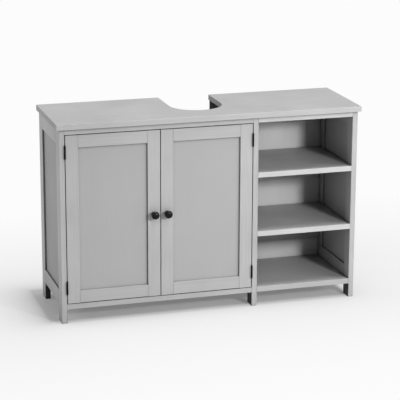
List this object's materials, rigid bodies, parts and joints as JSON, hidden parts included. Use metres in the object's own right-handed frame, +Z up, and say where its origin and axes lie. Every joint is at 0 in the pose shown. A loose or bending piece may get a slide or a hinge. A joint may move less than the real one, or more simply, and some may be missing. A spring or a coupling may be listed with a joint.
{
  "type": "under-sink vanity cabinet",
  "caption": "Grey under-sink vanity cabinet with framed doors, an open shelf bay, framed sides on legs and a U-shaped cut-out in its top for basin pipes.",
  "frame": {"origin": "on the floor under the middle of the whole outline, knobs included", "axes": "+X to the right as seen from the front, +Y from the front towards the wall, +Z up"},
  "size_m": [0.93, 0.305, 0.6],
  "materials": {
    "painted_frame": "satin grey paint",
    "painted_top": "satin grey paint",
    "painted_panel": "satin grey paint",
    "painted_back": "satin grey paint",
    "painted_door": "satin grey paint",
    "bare_wood": "planed, unfinished",
    "black_steel": "satin black",
    "black_knob": "glossy black",
    "zinc_steel": "zinc plated",
    "catch_plastic": "moulded",
    "magnet": "ferrite block with a ground face"
  },
  "bodies": {
    "carcass": {"left_front_post": "painted_frame", "left_rear_post": "painted_frame", "left_top_rail": "painted_frame", "left_bottom_rail": "painted_frame", "left_side_panel": "painted_panel", "divider_front_post": "painted_frame", "divider_rear_post": "painted_frame", "divider_top_rail": "painted_frame", "divider_bottom_rail": "painted_frame", "divider_panel": "painted_panel", "right_front_post": "painted_frame", "right_rear_post": "painted_frame", "right_top_rail": "painted_frame", "right_bottom_rail": "painted_frame", "right_side_panel": "painted_panel", "sink_bay_bottom": "painted_frame", "shelf_bay_bottom": "painted_frame", "lower_shelf": "painted_frame", "upper_shelf": "painted_frame", "sink_bay_front_rail": "painted_frame", "shelf_bay_front_rail": "painted_frame", "shelf_bay_rear_rail": "painted_frame", "shelf_bay_stretcher": "painted_frame", "top_board": "painted_top", "sink_bay_back_panel": "painted_back", "shelf_bay_back_panel": "painted_back", "loose_tenons": "bare_wood", "left_post_hinge_leaves": "black_steel", "divider_hinge_leaves": "black_steel", "hinge_pins": "black_steel", "catch_housings": "catch_plastic", "catch_magnets": "magnet"},
    "left_door": {"left_door_hinge_stile": "painted_door", "left_door_meeting_stile": "painted_door", "left_door_top_rail": "painted_door", "left_door_bottom_rail": "painted_door", "left_door_panel": "painted_panel", "left_door_knob": "black_knob", "left_door_knob_screw": "zinc_steel", "left_door_strike_plate": "zinc_steel", "left_door_hinge_leaves": "black_steel"},
    "right_door": {"right_door_hinge_stile": "painted_door", "right_door_meeting_stile": "painted_door", "right_door_top_rail": "painted_door", "right_door_bottom_rail": "painted_door", "right_door_panel": "painted_panel", "right_door_knob": "black_knob", "right_door_knob_screw": "zinc_steel", "right_door_strike_plate": "zinc_steel", "right_door_hinge_leaves": "black_steel"}
  },
  "joints": [
    {"name": "left_door_hinge", "type": "hinge", "parent": "carcass", "child": "left_door", "pos_m": [-0.44, -0.13, 0.3135], "axis": [0, 0, -1], "range_deg": [0, 170]},
    {"name": "right_door_hinge", "type": "hinge", "parent": "carcass", "child": "right_door", "pos_m": [0.127, -0.13, 0.3135], "axis": [0, 0, 1], "range_deg": [0, 170]}
  ]
}
